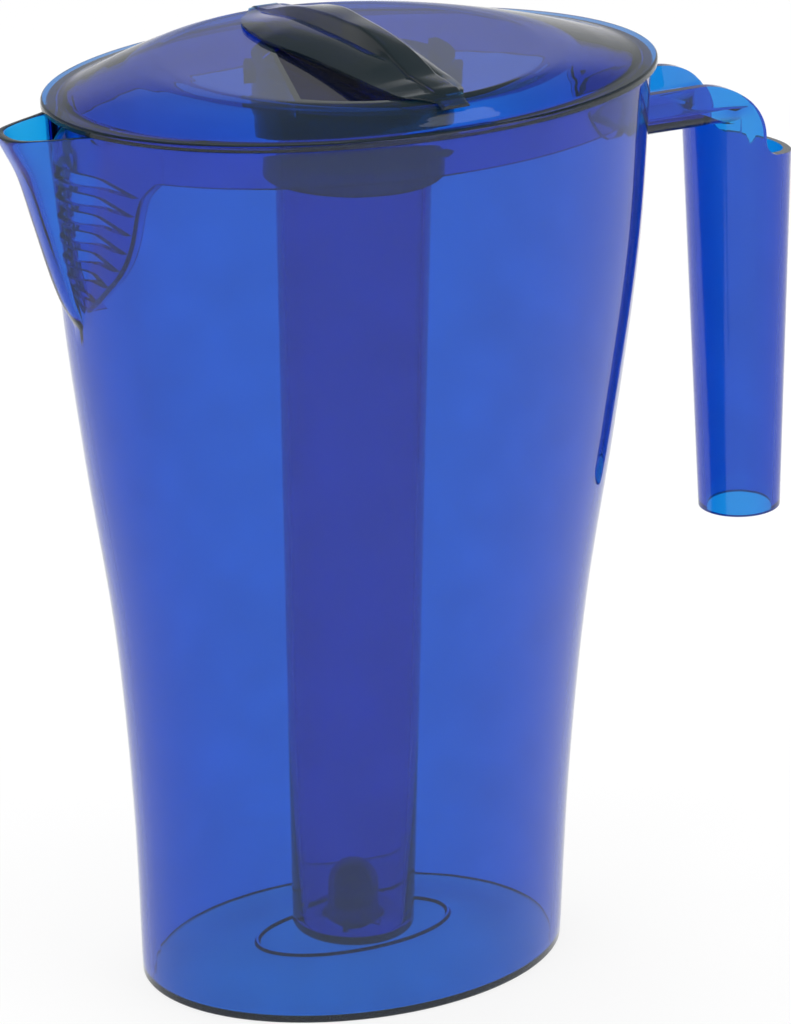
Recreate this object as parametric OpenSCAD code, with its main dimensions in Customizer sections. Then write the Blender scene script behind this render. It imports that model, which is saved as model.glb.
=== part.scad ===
// Oval pitcher with a twist-off ice core that hangs from its lid.
// Origin: centre of the base. +Z is up, the spout points to -X and the handle to +X.

/* [Jug] */
// Height of the jug from the table to its rim
jug_h = 250; // [235:1:265]
// Length of the rim along X, without the spout
rim_len = 172; // [166:1:180]
// Width of the rim along Y
rim_wid = 118.6; // [114:0.2:124]
// Length of the base along X
base_len = 121.6; // [110:0.2:130]
// Width of the base along Y
base_wid = 91.6; // [84:0.2:98]
// Thickness of the jug's wall
wall = 2.6; // [2.4:0.1:3.2]
// Thickness of the jug's floor
floor_t = 2.6; // [2.3:0.1:3.6]
// How far the spout's tip stands out past the rim
spout_reach = 16.5; // [12:0.5:19]
// Width of the spout's root at the rim
spout_wid = 32; // [28:1:36]
// Height over which the spout grows out of the wall
spout_h = 59; // [54:1:64]
// How much lower the pouring lip lies than the rim
lip_drop = 2.7; // [1:0.1:4]

/* [Handle] */
// Radius of the grip where the arm joins it
grip_top_r = 15.5; // [14:0.1:16.5]
// Radius of the grip at its open lower end
grip_end_r = 11.4; // [10.5:0.1:13]
// Length of the grip below the arm's upper edge
grip_h = 127; // [110:1:135]
// Distance of the grip's axis from the jug's axis, at the arm
grip_x = 119; // [118:0.5:124]
// Lean of the grip, outwards at its lower end
grip_lean = 2; // [0:0.5:3]
// Height of the arm's side walls
arm_h = 12; // [9:0.5:14]
// Width of the arm across its side walls
arm_wid = 25.6; // [20:0.2:27]
// Depth of the arm's upper edge below the rim
arm_drop = 14.5; // [12:0.5:20]
// Thickness of the handle's walls
handle_wall = 2.3; // [2:0.1:3]

/* [Lid] */
// Thickness of the lid's shell, flange and skirt
lid_t = 2; // [1.6:0.1:2.4]
// Radius of the round raised middle of the lid
plateau_r = 48; // [45:0.5:50]
// Rise of the raised middle above the flange
plateau_rise = 8.5; // [6:0.5:10]
// Depth of the lid's skirt below the rim
skirt_drop = 12.5; // [11:0.5:16]
// Depth of the flange's upper face below the rim
flange_drop = 2.5; // [1.5:0.1:4]
// Gap between the lid and the jug's wall
lid_gap = 0.4; // [0.3:0.05:0.6]
// Height of the strainer below the skirt
strainer_h = 40; // [34:1:42]
// Width of the strainer at the skirt
strainer_wid = 50; // [44:1:52]
// Number of pouring slots in the strainer
slots = 7; // [4:1:8]
// Height of one pouring slot at its middle
slot_h = 3.8; // [2.4:0.1:4]
// Height of the closed tab on the handle side, below the skirt
tab_h = 18; // [12:1:24]
// Height of the lifting grip above the raised middle
grip_rise = 9; // [6:0.5:12]
// How far the lifting grip's ends reach past the raised middle
fin_over = 3; // [1:0.5:4]
// Thickness of the lifting grip's crest
fin_t = 7; // [5:0.5:9]

/* [Ice core] */
// Outer radius of the tube at its lower end
tube_end_r = 16.7; // [15.5:0.1:17.5]
// Outer radius of the tube at its mouth
tube_mouth_r = 20.9; // [20:0.1:21]
// Thickness of the tube's wall
tube_t = 2; // [1.6:0.1:2.4]
// Gap between the jug's floor and the tube
tube_lift = 3.7; // [3:0.1:5]
// Outer radius of the collar
collar_r = 23.8; // [23.6:0.1:24.2]
// Height of the collar
collar_h = 27.4; // [25:0.1:30]
// Outer radius of the socket under the lid
socket_r = 26.6; // [26.2:0.1:27.5]
// Height of the socket under the lid
socket_h = 23; // [21:0.5:25]
// Gap between the collar and the socket
core_gap = 0.35; // [0.3:0.05:0.5]
// Number of bayonet lugs
lugs = 2; // [2:1:3]
// Width of a lug as an angle
lug_arc = 20; // [14:1:26]
// Turn that frees the core
twist = 35; // [25:1:40]
// Thickness of the seal on the tube's mouth
seal_t = 2.2; // [1.6:0.1:3]

/* [Hidden] */
$fn = 96;
// One overrun serves every cut
over = 1;
blue = [0.16, 0.38, 0.86, 0.6];
deep_blue = [0.14, 0.24, 0.62, 0.7];
smoke = [0.15, 0.17, 0.28, 0.9];
seal_grey = [0.55, 0.58, 0.62];

// Steps round a ring of the jug, behind the spout and across it
back_steps = 46;
lip_steps = 14;
// Steps up the wall below the spout and along it
body_steps = 8;
spout_steps = 9;

// Outline of the jug from base to rim: share of the height, share of the flare
flare_shares = [[0, 0], [0.2, 0.085], [0.4, 0.265], [0.6, 0.575], [0.8, 0.84], [1, 1]];
// Keel of the spout: share of its height, share of its reach
keel_shares = [[0, 0], [0.15, 0.27], [0.5, 0.48], [0.75, 0.68], [0.9, 0.88], [1, 1]];
// Power that rounds the spout's section, and how fast the spout widens upwards
lip_power = 1.8;
widen_power = 0.7;
// Root of the spout at its lowest point
root_min_wid = 5;
// Height below the rim over which the lip's drop fades
lip_fade = 14;
// Rounding of the rim, of the outer foot and of the inner floor corner
rim_round = 0.5;
foot_round = 0.9;
floor_round = 3;
// Step inside the rim that carries the lid's flange
ledge_wid = 1;
// Oval bead on the floor around the core: half length, half width, size
bead_a = 31;
bead_b = 16;
bead_t = 0.6;
// Peg on the floor that centres the core
peg_r = 5.1;
peg_gap = 0.5;
peg_top = 17.5;
web_t = 1.4;
web_reach = 3;
web_h = 4.6;
webs = 4;

spout_z = jug_h - spout_h;
flange_z = jug_h - flange_drop;
ledge_z = flange_z - lid_t;
plateau_z = flange_z + plateau_rise;
under_z = plateau_z - lid_t;
arm_z = jug_h - arm_drop;
arm_low_z = arm_z - arm_h;

function knot(t, p, i = 0) = i < len(p) - 2 && t > p[i + 1][0] ? knot(t, p, i + 1) : i;
function lean(p, i) =
    let (lo = max(i - 1, 0), hi = min(i + 1, len(p) - 1))
    (p[hi][1] - p[lo][1]) / (p[hi][0] - p[lo][0]);
// Smooth curve through a table of [place, value] pairs
function through(t, p) =
    let (i = knot(t, p), h = p[i + 1][0] - p[i][0], s = (t - p[i][0]) / h)
    (2 * pow(s, 3) - 3 * pow(s, 2) + 1) * p[i][1]
    + (pow(s, 3) - 2 * pow(s, 2) + s) * h * lean(p, i)
    + (3 * pow(s, 2) - 2 * pow(s, 3)) * p[i + 1][1]
    + (pow(s, 3) - pow(s, 2)) * h * lean(p, i + 1);
function mix(a, b, t) = a + (b - a) * t;

// Half length and half width of the jug's outside at a height
function flare(z) = through(min(max(z / jug_h, 0), 1), flare_shares);
function half_len(z) = mix(base_len, rim_len, flare(z)) / 2;
function half_wid(z) = mix(base_wid, rim_wid, flare(z)) / 2;
// The spout's own sizes at a height
function up_spout(z) = min(max((z - spout_z) / spout_h, 0), 1);
function reach(z) = spout_reach * through(up_spout(z), keel_shares);
function root_half(z) = mix(root_min_wid, spout_wid, pow(up_spout(z), widen_power)) / 2;
function lip_share(t) = (1 + cos(180 * pow(abs(t), lip_power))) / 2;

// One closed ring of the jug, set in from its outside by a distance
function jug_ring(z, inset = 0) =
    let (
        a = half_len(z) - inset,
        b = half_wid(z) - inset,
        w = max(root_half(z) - inset / 2, root_min_wid / 5),
        edge = 180 - asin(w / b),
        drop = lip_drop * max(0, 1 - (jug_h - z) / lip_fade)
    )
    concat(
        [for (i = [0:back_steps])
            let (f = mix(-edge, edge, i / back_steps))
            [a * cos(f), b * sin(f), z]],
        [for (i = [1:lip_steps - 1])
            let (t = 1 - 2 * i / lip_steps, g = lip_share(t))
            [-a * sqrt(1 - pow(w * t / b, 2)) - reach(z) * g, w * t, z - drop * g]]
    );

// One plain oval ring with as many points as a ring of the jug
function oval_ring(a, b, z) =
    let (n = back_steps + lip_steps)
    [for (i = [0:n - 1]) [a * cos(360 * i / n - 180), b * sin(360 * i / n - 180), z]];

// Solid skinned over rings: first ring faces up, last ring faces down
module skin(rings) {
    n = len(rings[0]);
    last = (len(rings) - 1) * n;
    polyhedron(
        points = [for (r = rings) each r],
        faces = concat(
            [[for (i = [n - 1:-1:0]) i]],
            [for (k = [0:len(rings) - 2], i = [0:n - 1])
                [k * n + i, (k + 1) * n + (i + 1) % n, (k + 1) * n + i]],
            [for (k = [0:len(rings) - 2], i = [0:n - 1])
                [k * n + i, k * n + (i + 1) % n, (k + 1) * n + (i + 1) % n]],
            [[for (i = [0:n - 1]) last + i]]
        )
    );
}

// Heights of the outer rings, from just above the foot to just under the rim
outer_low = [for (i = [0:body_steps - 1]) mix(foot_round, spout_z, i / body_steps)];
outer_top = jug_h - rim_round;
outer_high = [for (i = [0:spout_steps]) mix(spout_z, outer_top, i / spout_steps)];
outer_z = concat(outer_low, outer_high);
// Heights of the inner rings, from the floor's corner to the ledge
inner_low_z = floor_t + floor_round;
inner_low = [for (i = [0:body_steps - 1]) mix(inner_low_z, spout_z, i / body_steps)];
inner_high = [for (i = [0:spout_steps]) mix(spout_z, ledge_z, i / spout_steps)];
inner_z = concat(inner_low, inner_high);

function floor_ring(inset, z) =
    let (in = wall + inset)
    [for (p = jug_ring(inner_low_z, in)) [p[0], p[1], z]];

module jug_shell() {
    bead = [[-bead_t, 0], [0, bead_t], [bead_t / 2, bead_t], [3 * bead_t / 2, 0]];
    corner = [for (i = [0:2]) [floor_round * (1 - sin(30 * i)), floor_round * (1 - cos(30 * i))]];
    skin(concat(
        [for (p = bead) oval_ring(bead_a + p[0], bead_b + p[0], floor_t + p[1])],
        [for (p = corner) floor_ring(p[0], floor_t + p[1])],
        [for (z = inner_z) jug_ring(z, wall)],
        [jug_ring(ledge_z, wall - ledge_wid)],
        [jug_ring(outer_top, wall - ledge_wid)],
        [jug_ring(jug_h, wall - ledge_wid - rim_round)],
        [jug_ring(jug_h, rim_round)],
        [for (i = [len(outer_z) - 1:-1:0]) jug_ring(outer_z[i])],
        [[for (p = jug_ring(foot_round, foot_round)) [p[0], p[1], 0]]]
    ));
}

// Peg on the floor, with a domed top and four small webs round its foot
module peg() {
    base = floor_t / 2;
    translate([0, 0, base]) cylinder(r = peg_r, h = peg_top - base);
    translate([0, 0, peg_top]) sphere(r = peg_r);
    for (i = [0:webs - 1])
        rotate([90, 0, 45 + 360 * i / webs])
            translate([0, 0, -web_t / 2])
                linear_extrude(web_t)
                    polygon([
                        [0, base],
                        [peg_r + web_reach, base],
                        [peg_r + web_reach, floor_t + web_h / 4],
                        [peg_r, floor_t + web_h],
                        [0, floor_t + web_h]
                    ]);
}

module jug_body() {
    color(blue)
        union() {
            jug_shell();
            peg();
        }
}

// Solid of the jug's outside over the arm's height, on the jug's own rings
module jug_back() {
    step = spout_h / spout_steps;
    z = [for (i = [spout_steps:-1:0]) outer_high[i]];
    skin([for (h = z) if (h > arm_low_z - 2 * step && h < arm_z + 2 * step) jug_ring(h)]);
}

// Upper edge of the handle seen from the side: arm, hump, grip mouth
hump_r = 17;
hump_len = 20;
hump_back = 19.5;
mouth_r = 5;
mouth_fall = 4;
hump_x = grip_x - hump_back;

module above_handle() {
    x1 = hump_x + hump_len;
    z1 = arm_z - hump_r;
    far = grip_x + 2 * grip_top_r;
    top = arm_z + 2 * grip_top_r;
    rotate([90, 0, 0])
        translate([0, 0, -2 * grip_top_r])
            linear_extrude(4 * grip_top_r)
                polygon(concat(
                    [[0, top], [0, arm_z]],
                    [for (f = [90:-6:0]) [hump_x + hump_len * cos(f), z1 + hump_r * sin(f)]],
                    [for (f = [180:15:270])
                        [x1 + mouth_r + mouth_r * cos(f), z1 + mouth_r * sin(f)]],
                    [[far, z1 - mouth_r - mouth_fall], [far, top]]
                ));
}

// Tapered round post along the grip's leaning axis
module grip_post(inset, extra) {
    rate = (grip_top_r - grip_end_r) / grip_h;
    translate([grip_x, 0, arm_z])
        rotate([0, -grip_lean, 0])
            translate([0, 0, -grip_h - extra])
                cylinder(
                    r1 = grip_end_r - inset - rate * extra,
                    r2 = grip_top_r - inset + rate * extra,
                    h = grip_h + 2 * extra
                );
}

// Arm with rounded lower edges, from inside the jug to the grip's axis
module arm_bar(inset, top) {
    wid = arm_wid - 2 * inset;
    low = arm_low_z + inset;
    r = arm_h / 3;
    start = half_len(arm_low_z) / 2;
    translate([start, 0, 0]) {
        translate([0, -wid / 2, low + r]) cube([grip_x - start, wid, top - low - r]);
        translate([0, r - wid / 2, low]) cube([grip_x - start, wid - 2 * r, top - low]);
        for (s = [-1, 1])
            translate([0, s * (wid / 2 - r), low + r])
                rotate([0, 90, 0]) cylinder(r = r, h = grip_x - start);
    }
}

// Sunk end of the trough's floor, where it runs down into the grip
floor_sink = 4;

module sunk_floor() {
    r = grip_top_r - handle_wall;
    wid = arm_wid - 2 * handle_wall;
    intersection() {
        translate([grip_x, 0, arm_low_z])
            rotate([0, -grip_lean, 0])
                cylinder(r1 = r, r2 = r + 2 * floor_sink, h = 2 * handle_wall);
        translate([grip_x - arm_wid, -wid / 2, arm_low_z - handle_wall])
            cube([arm_wid, wid, 4 * handle_wall]);
    }
}

module handle() {
    color(blue)
        difference() {
            union() {
                grip_post(0, 0);
                arm_bar(0, arm_z);
            }
            grip_post(handle_wall, over);
            arm_bar(handle_wall, arm_z + over);
            sunk_floor();
            above_handle();
            jug_back();
        }
}

// Half length and half width of the lid's flange and skirt
flange_inset = wall - ledge_wid + lid_gap;
flange_a = half_len(ledge_z) - flange_inset;
flange_b = half_wid(ledge_z) - flange_inset;
skirt_z = jug_h - skirt_drop;
function skirt_a(z) = half_len(z) - wall - lid_gap;
function skirt_b(z) = half_wid(z) - wall - lid_gap;
// Rise of the lid from flange to raised middle: share of the way, share of the rise
rise_shares = [[0, 0], [0.15, 0.03], [0.4, 0.25], [0.7, 0.68], [0.9, 0.95], [1, 1]];
rise_steps = 8;
crest_round = 2;

function lid_ring(t, down) =
    let (
        a = mix(flange_a - lid_t, plateau_r, t),
        b = mix(flange_b - lid_t, plateau_r, t),
        z = flange_z + plateau_rise * through(t, rise_shares) - down
    )
    oval_ring(a, b, z);

module lid_dome() {
    skin(concat(
        [oval_ring(plateau_r - crest_round, plateau_r - crest_round, plateau_z)],
        [for (i = [rise_steps:-1:0]) lid_ring(i / rise_steps, i == rise_steps ? crest_round / 4 : 0)],
        [oval_ring(flange_a, flange_b, flange_z)],
        [oval_ring(flange_a, flange_b, ledge_z)],
        [oval_ring(skirt_a(ledge_z), skirt_b(ledge_z), ledge_z)],
        [oval_ring(skirt_a(skirt_z), skirt_b(skirt_z), skirt_z)],
        [oval_ring(skirt_a(skirt_z) - lid_t, skirt_b(skirt_z) - lid_t, skirt_z)],
        [oval_ring(skirt_a(ledge_z) - lid_t, skirt_b(ledge_z) - lid_t, ledge_z)],
        [for (i = [2:rise_steps - 1]) lid_ring(i / rise_steps, lid_t)],
        [oval_ring(plateau_r - lid_t, plateau_r - lid_t, under_z)]
    ));
}

// Half width of a hanging shield: share of its depth, share of its half width
shield_shares = [[0, 1.04], [0.12, 0.9], [0.47, 0.76], [0.66, 0.61], [0.85, 0.33], [1, 0.06]];
// Swell of the strainer into the spout: share of its depth, share of the swell
swell_shares = [[0, 0.1], [0.08, 0.85], [0.2, 1], [0.7, 1], [0.85, 0.7], [1, 0.1]];
shield_bulge = 5.3;
shield_edge = 3;
shield_t = 1.9;
// Places across a shield as shares of its half width, with its thick edge past the given share
shield_col_shares = [-1, -0.965, -0.945, -0.75, -0.58, -0.45, -0.34, -0.22, -0.11, 0,
    0.11, 0.22, 0.34, 0.45, 0.58, 0.75, 0.945, 0.965, 1];
edge_share = 0.95;
shield_rows = 14;
// Places of the highest and the lowest slot as shares of the strainer's height
first_slot_share = 0.118;
last_slot_share = 0.898;
slot_wid_share = 0.92;
// Rib behind the slots: depth share where it begins, depth at the tip, thickness
rib_start_share = 0.35;
rib_depth = 4.5;
rib_t = 1.6;
// Part of the skirt that gives way to the strainer's swell
window_share = 0.7;

function shield_half(z, wid, h) =
    wid / 2 * through(min(max((skirt_z - z) / h, 0), 1), shield_shares);

// Point on a shield that follows the skirt and swells into the spout, on the side of +X
function shield_point(u, z, wid, h, bulge, set) =
    let (
        y = u * shield_half(z, wid, h),
        v = min(max((ledge_z - z) / (ledge_z - skirt_z + h), 0), 1),
        t = min(abs(y) / (root_half(z) - wall / 2), 1),
        swell = bulge * through(v, swell_shares) * lip_share(t)
    )
    [skirt_a(z) * sqrt(1 - pow(y / skirt_b(z), 2)) + swell - set, y, z];

// Thin shield with a thick edge, skinned front and back
module shield(wid, h, bulge, top) {
    cols = shield_col_shares;
    rows = [for (j = [0:shield_rows]) mix(top, skirt_z - h, j / shield_rows)];
    nc = len(cols);
    nr = shield_rows + 1;
    thick = [for (u = cols) abs(u) > edge_share ? shield_edge : shield_t];
    front = [for (z = rows, u = cols) shield_point(u, z, wid, h, bulge, 0)];
    back = [for (z = rows, i = [0:nc - 1]) shield_point(cols[i], z, wid, h, bulge, thick[i])];
    m = nr * nc;
    function f(j, i) = j * nc + i;
    function g(j, i) = m + j * nc + i;
    polyhedron(
        points = concat(front, back),
        faces = concat(
            [for (j = [0:nr - 2], i = [0:nc - 2]) each [
                [f(j, i), f(j, i + 1), f(j + 1, i + 1)],
                [f(j, i), f(j + 1, i + 1), f(j + 1, i)],
                [g(j, i), g(j + 1, i + 1), g(j, i + 1)],
                [g(j, i), g(j + 1, i), g(j + 1, i + 1)]
            ]],
            [for (j = [0:nr - 2]) each [
                [f(j, 0), f(j + 1, 0), g(j + 1, 0)],
                [f(j, 0), g(j + 1, 0), g(j, 0)],
                [f(j, nc - 1), g(j + 1, nc - 1), f(j + 1, nc - 1)],
                [f(j, nc - 1), g(j, nc - 1), g(j + 1, nc - 1)]
            ]],
            [for (i = [0:nc - 2]) each [
                [f(0, i), g(0, i + 1), f(0, i + 1)],
                [f(0, i), g(0, i), g(0, i + 1)],
                [f(nr - 1, i), f(nr - 1, i + 1), g(nr - 1, i + 1)],
                [f(nr - 1, i), g(nr - 1, i + 1), g(nr - 1, i)]
            ]]
        )
    );
}

// How full the slots' arches are
slot_power = 2.6;
function slot_share(t) = 1 - pow(abs(t), slot_power);

// Crescent slot seen from the spout: flat below, arched above, pointed at both ends
module slot_cut(half, z) {
    steps = 9;
    deep = 2 * shield_bulge + shield_edge;
    sag = slot_h / 8;
    rotate([90, 0, 90])
        translate([0, z, half_len(z) - wall - deep])
            linear_extrude(2 * deep)
                polygon(concat(
                    [for (i = [-steps:steps]) [half * i / steps, -sag * slot_share(i / steps)]],
                    [for (i = [steps - 1:-1:1 - steps])
                        [half * i / steps, (slot_h - sag) * slot_share(i / steps)]]
                ));
}

// Upright rib behind the slots, deeper towards the strainer's tip
module strainer_rib() {
    steps = 5;
    z = [for (i = [0:steps]) skirt_z - strainer_h * mix(rib_start_share, 1, i / steps)];
    x = [for (h = z) shield_point(0, h, strainer_wid, strainer_h, shield_bulge, shield_t)[0]];
    rotate([90, 0, 0])
        translate([0, 0, -rib_t / 2])
            linear_extrude(rib_t)
                polygon(concat(
                    [for (i = [0:steps]) [x[i] + shield_t / 2, z[i]]],
                    [for (i = [steps:-1:0]) [x[i] - rib_depth * i / steps, z[i]]]
                ));
}

module strainer() {
    difference() {
        shield(strainer_wid, strainer_h, shield_bulge, ledge_z);
        for (i = [0:slots - 1]) {
            z = skirt_z - strainer_h * mix(first_slot_share, last_slot_share, i / (slots - 1));
            slot_cut(slot_wid_share * shield_half(z, strainer_wid, strainer_h), z);
        }
    }
    strainer_rib();
}

// Finger scoop beside the lifting grip, in plan: shallow end, outer end, end under the wing
scoop_plan = [[-16, 15], [-37, -43], [-11, -54]];
scoop_depth = 4.2;

// The scoop's plan with its corners moved outwards
function scoop_corners(grow) =
    let (c = (scoop_plan[0] + scoop_plan[1] + scoop_plan[2]) / 3)
    [for (p = scoop_plan) p + 2 * grow * (p - c) / norm(p - c)];

// Wedge over the scoop's plan, grown by a distance on all sides and below
module scoop(grow, top) {
    q = scoop_corners(grow);
    low = [grow, scoop_depth + grow, scoop_depth + grow];
    polyhedron(
        points = concat(
            [for (i = [0:2]) [q[i][0], q[i][1], plateau_z - low[i]]],
            [for (i = [0:2]) [q[i][0], q[i][1], top]]
        ),
        faces = [[0, 1, 2], [5, 4, 3], [0, 3, 4, 1], [1, 4, 5, 2], [2, 5, 3, 0]]
    );
}

// Dome whose skirt is open behind the strainer's swell
module skirted_dome() {
    half = window_share * root_half(skirt_z);
    difference() {
        lid_dome();
        translate([-half_len(jug_h), -half, skirt_z - over])
            cube([half_len(jug_h) - plateau_r, 2 * half, ledge_z - skirt_z - lid_t / 2 + over]);
    }
}

module lid_shell() {
    color(blue) {
        difference() {
            union() {
                skirted_dome();
                for (r = [0, 180])
                    rotate([0, 0, r])
                        intersection() {
                            scoop(lid_t, under_z + lid_t / 2);
                            translate([0, 0, under_z - 2 * scoop_depth])
                                cylinder(r = plateau_r + lid_t / 2, h = 4 * scoop_depth);
                        }
            }
            for (r = [0, 180])
                rotate([0, 0, r])
                    intersection() {
                        scoop(0, plateau_z + over);
                        translate([0, 0, plateau_z - 2 * scoop_depth])
                            cylinder(r = plateau_r - crest_round / 2, h = 4 * scoop_depth);
                    }
        }
        rotate([0, 0, 180]) strainer();
        shield(strainer_wid / 2, tab_h, 0, skirt_z + lid_t);
    }
}

// Wing of the lifting grip on the spout side: share of the half length, share of the reach
wing_shares = [
    [-1, 0.2], [-0.93, 0.62], [-0.8, 0.74], [-0.5, 0.79], [-0.1, 0.84], [0.3, 0.98], [0.42, 0.96],
    [0.62, 0.88], [0.78, 0.68], [0.88, 0.42], [1, 0.2]
];
// Wing on the handle side, which narrows towards the front
rear_wing_shares = [
    [-1, 0.2], [-0.92, 0.34], [-0.8, 0.43], [-0.63, 0.5], [-0.24, 0.71], [0, 0.82], [0.3, 0.9],
    [0.6, 0.88], [0.8, 0.66], [0.9, 0.42], [1, 0.2]
];
// Crest's edge on the handle side: share of the half length, share of the grip's rise
crest_shares = [
    [-1, 0.04], [-0.88, 0.1], [-0.76, 0.29], [-0.65, 0.49], [-0.53, 0.67], [-0.41, 0.79], [-0.2, 0.92],
    [0, 0.97], [0.2, 1], [0.41, 0.8], [0.58, 0.52], [0.8, 0.24], [1, 0.08]
];
// Crease where the crest's steep flank meets the wing, on the handle side: share of the rise
crease_shares = [
    [-1, 0], [-0.8, 0.12], [-0.5, 0.4], [-0.2, 0.5], [0.3, 0.52], [0.55, 0.46], [0.8, 0.2], [1, 0]
];
wing_reach = 17.5;
wing_lift = 0.4;
wing_t = 0.8;
wing_curl = 6;
// How full the wings' rounded backs are, and how wide the crest's steep flank is
wing_power = 1.8;
flank_wid = 1.1;
fin_round = 0.9;
fin_steps = 20;
end_steps = 3;
wing_steps = 6;
// How much thinner the grip's ends are, and how late they thin
tip_share = 0.3;
tip_power = 8;
// Gap under the grip's drooping ends
droop_gap = 0.25;
fin_half = plateau_r + fin_over;
// Places of the grip's cross-sections, closer together where its ends droop
fin_flat = plateau_r - crest_round;
fin_y = concat(
    [for (i = [0:end_steps]) -mix(fin_half, plateau_r, i / end_steps)],
    [for (i = [0:fin_steps]) mix(-fin_flat, fin_flat, i / fin_steps)],
    [for (i = [0:end_steps]) mix(plateau_r, fin_half, i / end_steps)]
);

// Height of the lid under the grip at a distance from the lid's middle
function seat_z(y) =
    let (t = (flange_b - lid_t - abs(y)) / (flange_b - lid_t - plateau_r))
    abs(y) < plateau_r - crest_round ? plateau_z
        : t > 1 ? plateau_z - crest_round / 4 * (abs(y) - plateau_r + crest_round) / crest_round + droop_gap
        : flange_z + plateau_rise * through(max(t, 0), rise_shares) + droop_gap;

// One cross-section of the lifting grip at a distance from the lid's middle
function grip_ring(y) =
    let (
        s = y / fin_half,
        base = seat_z(y),
        thin = 1 - (1 - tip_share) * pow(s, tip_power),
        round = fin_round * thin,
        low = base + wing_lift * thin,
        edge = low + wing_t * thin,
        near = max(base + grip_rise * through(s, crest_shares), edge + 2 * round) - round,
        far = max(base + grip_rise * through(-s, crest_shares), edge + 2 * round) - round,
        half = fin_t / 2,
        foot = half + flank_wid * thin,
        near_foot = min(max(base + grip_rise * through(s, crease_shares), edge + round / 2), near),
        far_foot = min(max(base + grip_rise * through(-s, crease_shares), edge + round / 2), far),
        left = max(wing_reach * through(s, wing_shares), foot + round),
        right = max(wing_reach * through(s, rear_wing_shares), foot + round),
        curl = wing_curl * min(left, right) / wing_reach
    )
    concat(
        [[right, y, low]],
        [for (i = [0:wing_steps])
            let (q = i / wing_steps)
            [mix(right, foot, q), y, mix(edge, near_foot, 1 - pow(1 - q, wing_power))]],
        [[half, y, near], [half - round, y, near + round], [round - half, y, far + round], [-half, y, far]],
        [for (i = [wing_steps:-1:0])
            let (q = i / wing_steps)
            [-mix(left, foot, q), y, mix(edge, far_foot, 1 - pow(1 - q, wing_power))]],
        [[-left, y, low], [curl - left, y, base], [right - curl, y, base]]
    );

module lid_grip() {
    color(blue) skin([for (y = fin_y) grip_ring(y)]);
}

// Bayonet lugs: height, reach, start angle, depth below the lid, play at each end
lug_h = 4;
lug_reach = 4.9;
lug_start = -40;
lug_depth = 7;
lug_play = 1;
lug_z = under_z - lug_depth;

// Ring sector between two radii and two heights
module sector(r1, r2, z1, z2, start, arc) {
    rotate([0, 0, start])
        rotate_extrude(angle = arc)
            translate([r1, z1]) square([r2 - r1, z2 - z1]);
}

// Angle at which a line in plan leaves a circle round the axis
function leave_angle(p, q, r) =
    let (
        d = q - p,
        b = p * d / (d * d),
        t = sqrt(pow(b, 2) - (p * p - pow(r, 2)) / (d * d)) - b
    )
    atan2(p[1] + t * d[1], p[0] + t * d[0]);

// Notch in the socket's top where a scoop runs over it
liner = scoop_corners(lid_t);
notch_start = leave_angle(liner[0], liner[1], collar_r + core_gap) - 2 * lug_play;
notch_end = leave_angle(liner[0], liner[2], socket_r) + 2 * lug_play;

module core_socket() {
    bore = collar_r + core_gap;
    low = under_z - socket_h;
    color(smoke)
        difference() {
            rotate_extrude() translate([bore, low]) square([socket_r - bore, socket_h]);
            for (r = [0, 180])
                sector(bore - over, socket_r + over, lug_z + lug_h + core_gap, under_z + over,
                    notch_start + r, notch_end - notch_start);
            for (i = [0:lugs - 1]) {
                free = lug_start + 360 * i / lugs - twist - lug_play;
                sector(bore - over, socket_r + over, lug_z, lug_z + lug_h + core_gap,
                    free, lug_arc + twist + 2 * lug_play);
                sector(bore - over, socket_r + over, low - over, lug_z + over,
                    free, lug_arc + 2 * lug_play);
            }
        }
}

// Space between the collar's top and the lid
collar_drop = 2.9;
collar_low = under_z - collar_drop - collar_h;

module core_collar() {
    top = collar_low + collar_h;
    bore = tube_mouth_r + core_gap;
    color(smoke)
        union() {
            rotate_extrude()
                polygon([
                    [0, top], [collar_r, top], [collar_r, collar_low],
                    [bore, collar_low], [bore, top - lid_t], [0, top - lid_t]
                ]);
            for (i = [0:lugs - 1])
                sector(collar_r - over, collar_r + lug_reach, lug_z, lug_z + lug_h,
                    lug_start + 360 * i / lugs, lug_arc);
        }
}

seal_top = collar_low + collar_h - lid_t;

module core_seal() {
    color(seal_grey)
        rotate_extrude()
            translate([tube_mouth_r - 2 * tube_t, seal_top - seal_t]) square([2 * tube_t, seal_t]);
}

tube_low = floor_t + tube_lift;
tube_top = seal_top - seal_t;
tube_round = 2;
dimple_r = peg_r + peg_gap;
dimple_flare = 3.4;
dimple_t = 1.5;

module ice_tube() {
    color(deep_blue)
        rotate_extrude()
            polygon(concat(
                [for (f = [90:-10:0])
                    [dimple_r * cos(f), peg_top + dimple_r * sin(f)]],
                [[dimple_r, tube_low + dimple_flare], [dimple_r + dimple_flare, tube_low]],
                [for (f = [-90:15:0])
                    [tube_end_r - tube_round + tube_round * cos(f), tube_low + tube_round + tube_round * sin(f)]],
                [[tube_mouth_r, tube_top], [tube_mouth_r - tube_t, tube_top]],
                [[tube_end_r - tube_t, tube_low + tube_t + tube_round],
                 [tube_end_r - tube_t - tube_round / 2, tube_low + tube_t],
                 [dimple_r + dimple_t + dimple_flare / 2, tube_low + tube_t],
                 [dimple_r + dimple_t, tube_low + tube_t + dimple_flare / 2]],
                [for (f = [0:10:90])
                    [(dimple_r + dimple_t) * cos(f), peg_top + (dimple_r + dimple_t) * sin(f)]]
            ));
}

jug_body();
handle();
lid_shell();
lid_grip();
core_socket();
core_collar();
core_seal();
ice_tube();
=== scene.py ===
import math

import bmesh
import bpy
from mathutils import Matrix, Vector


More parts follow.
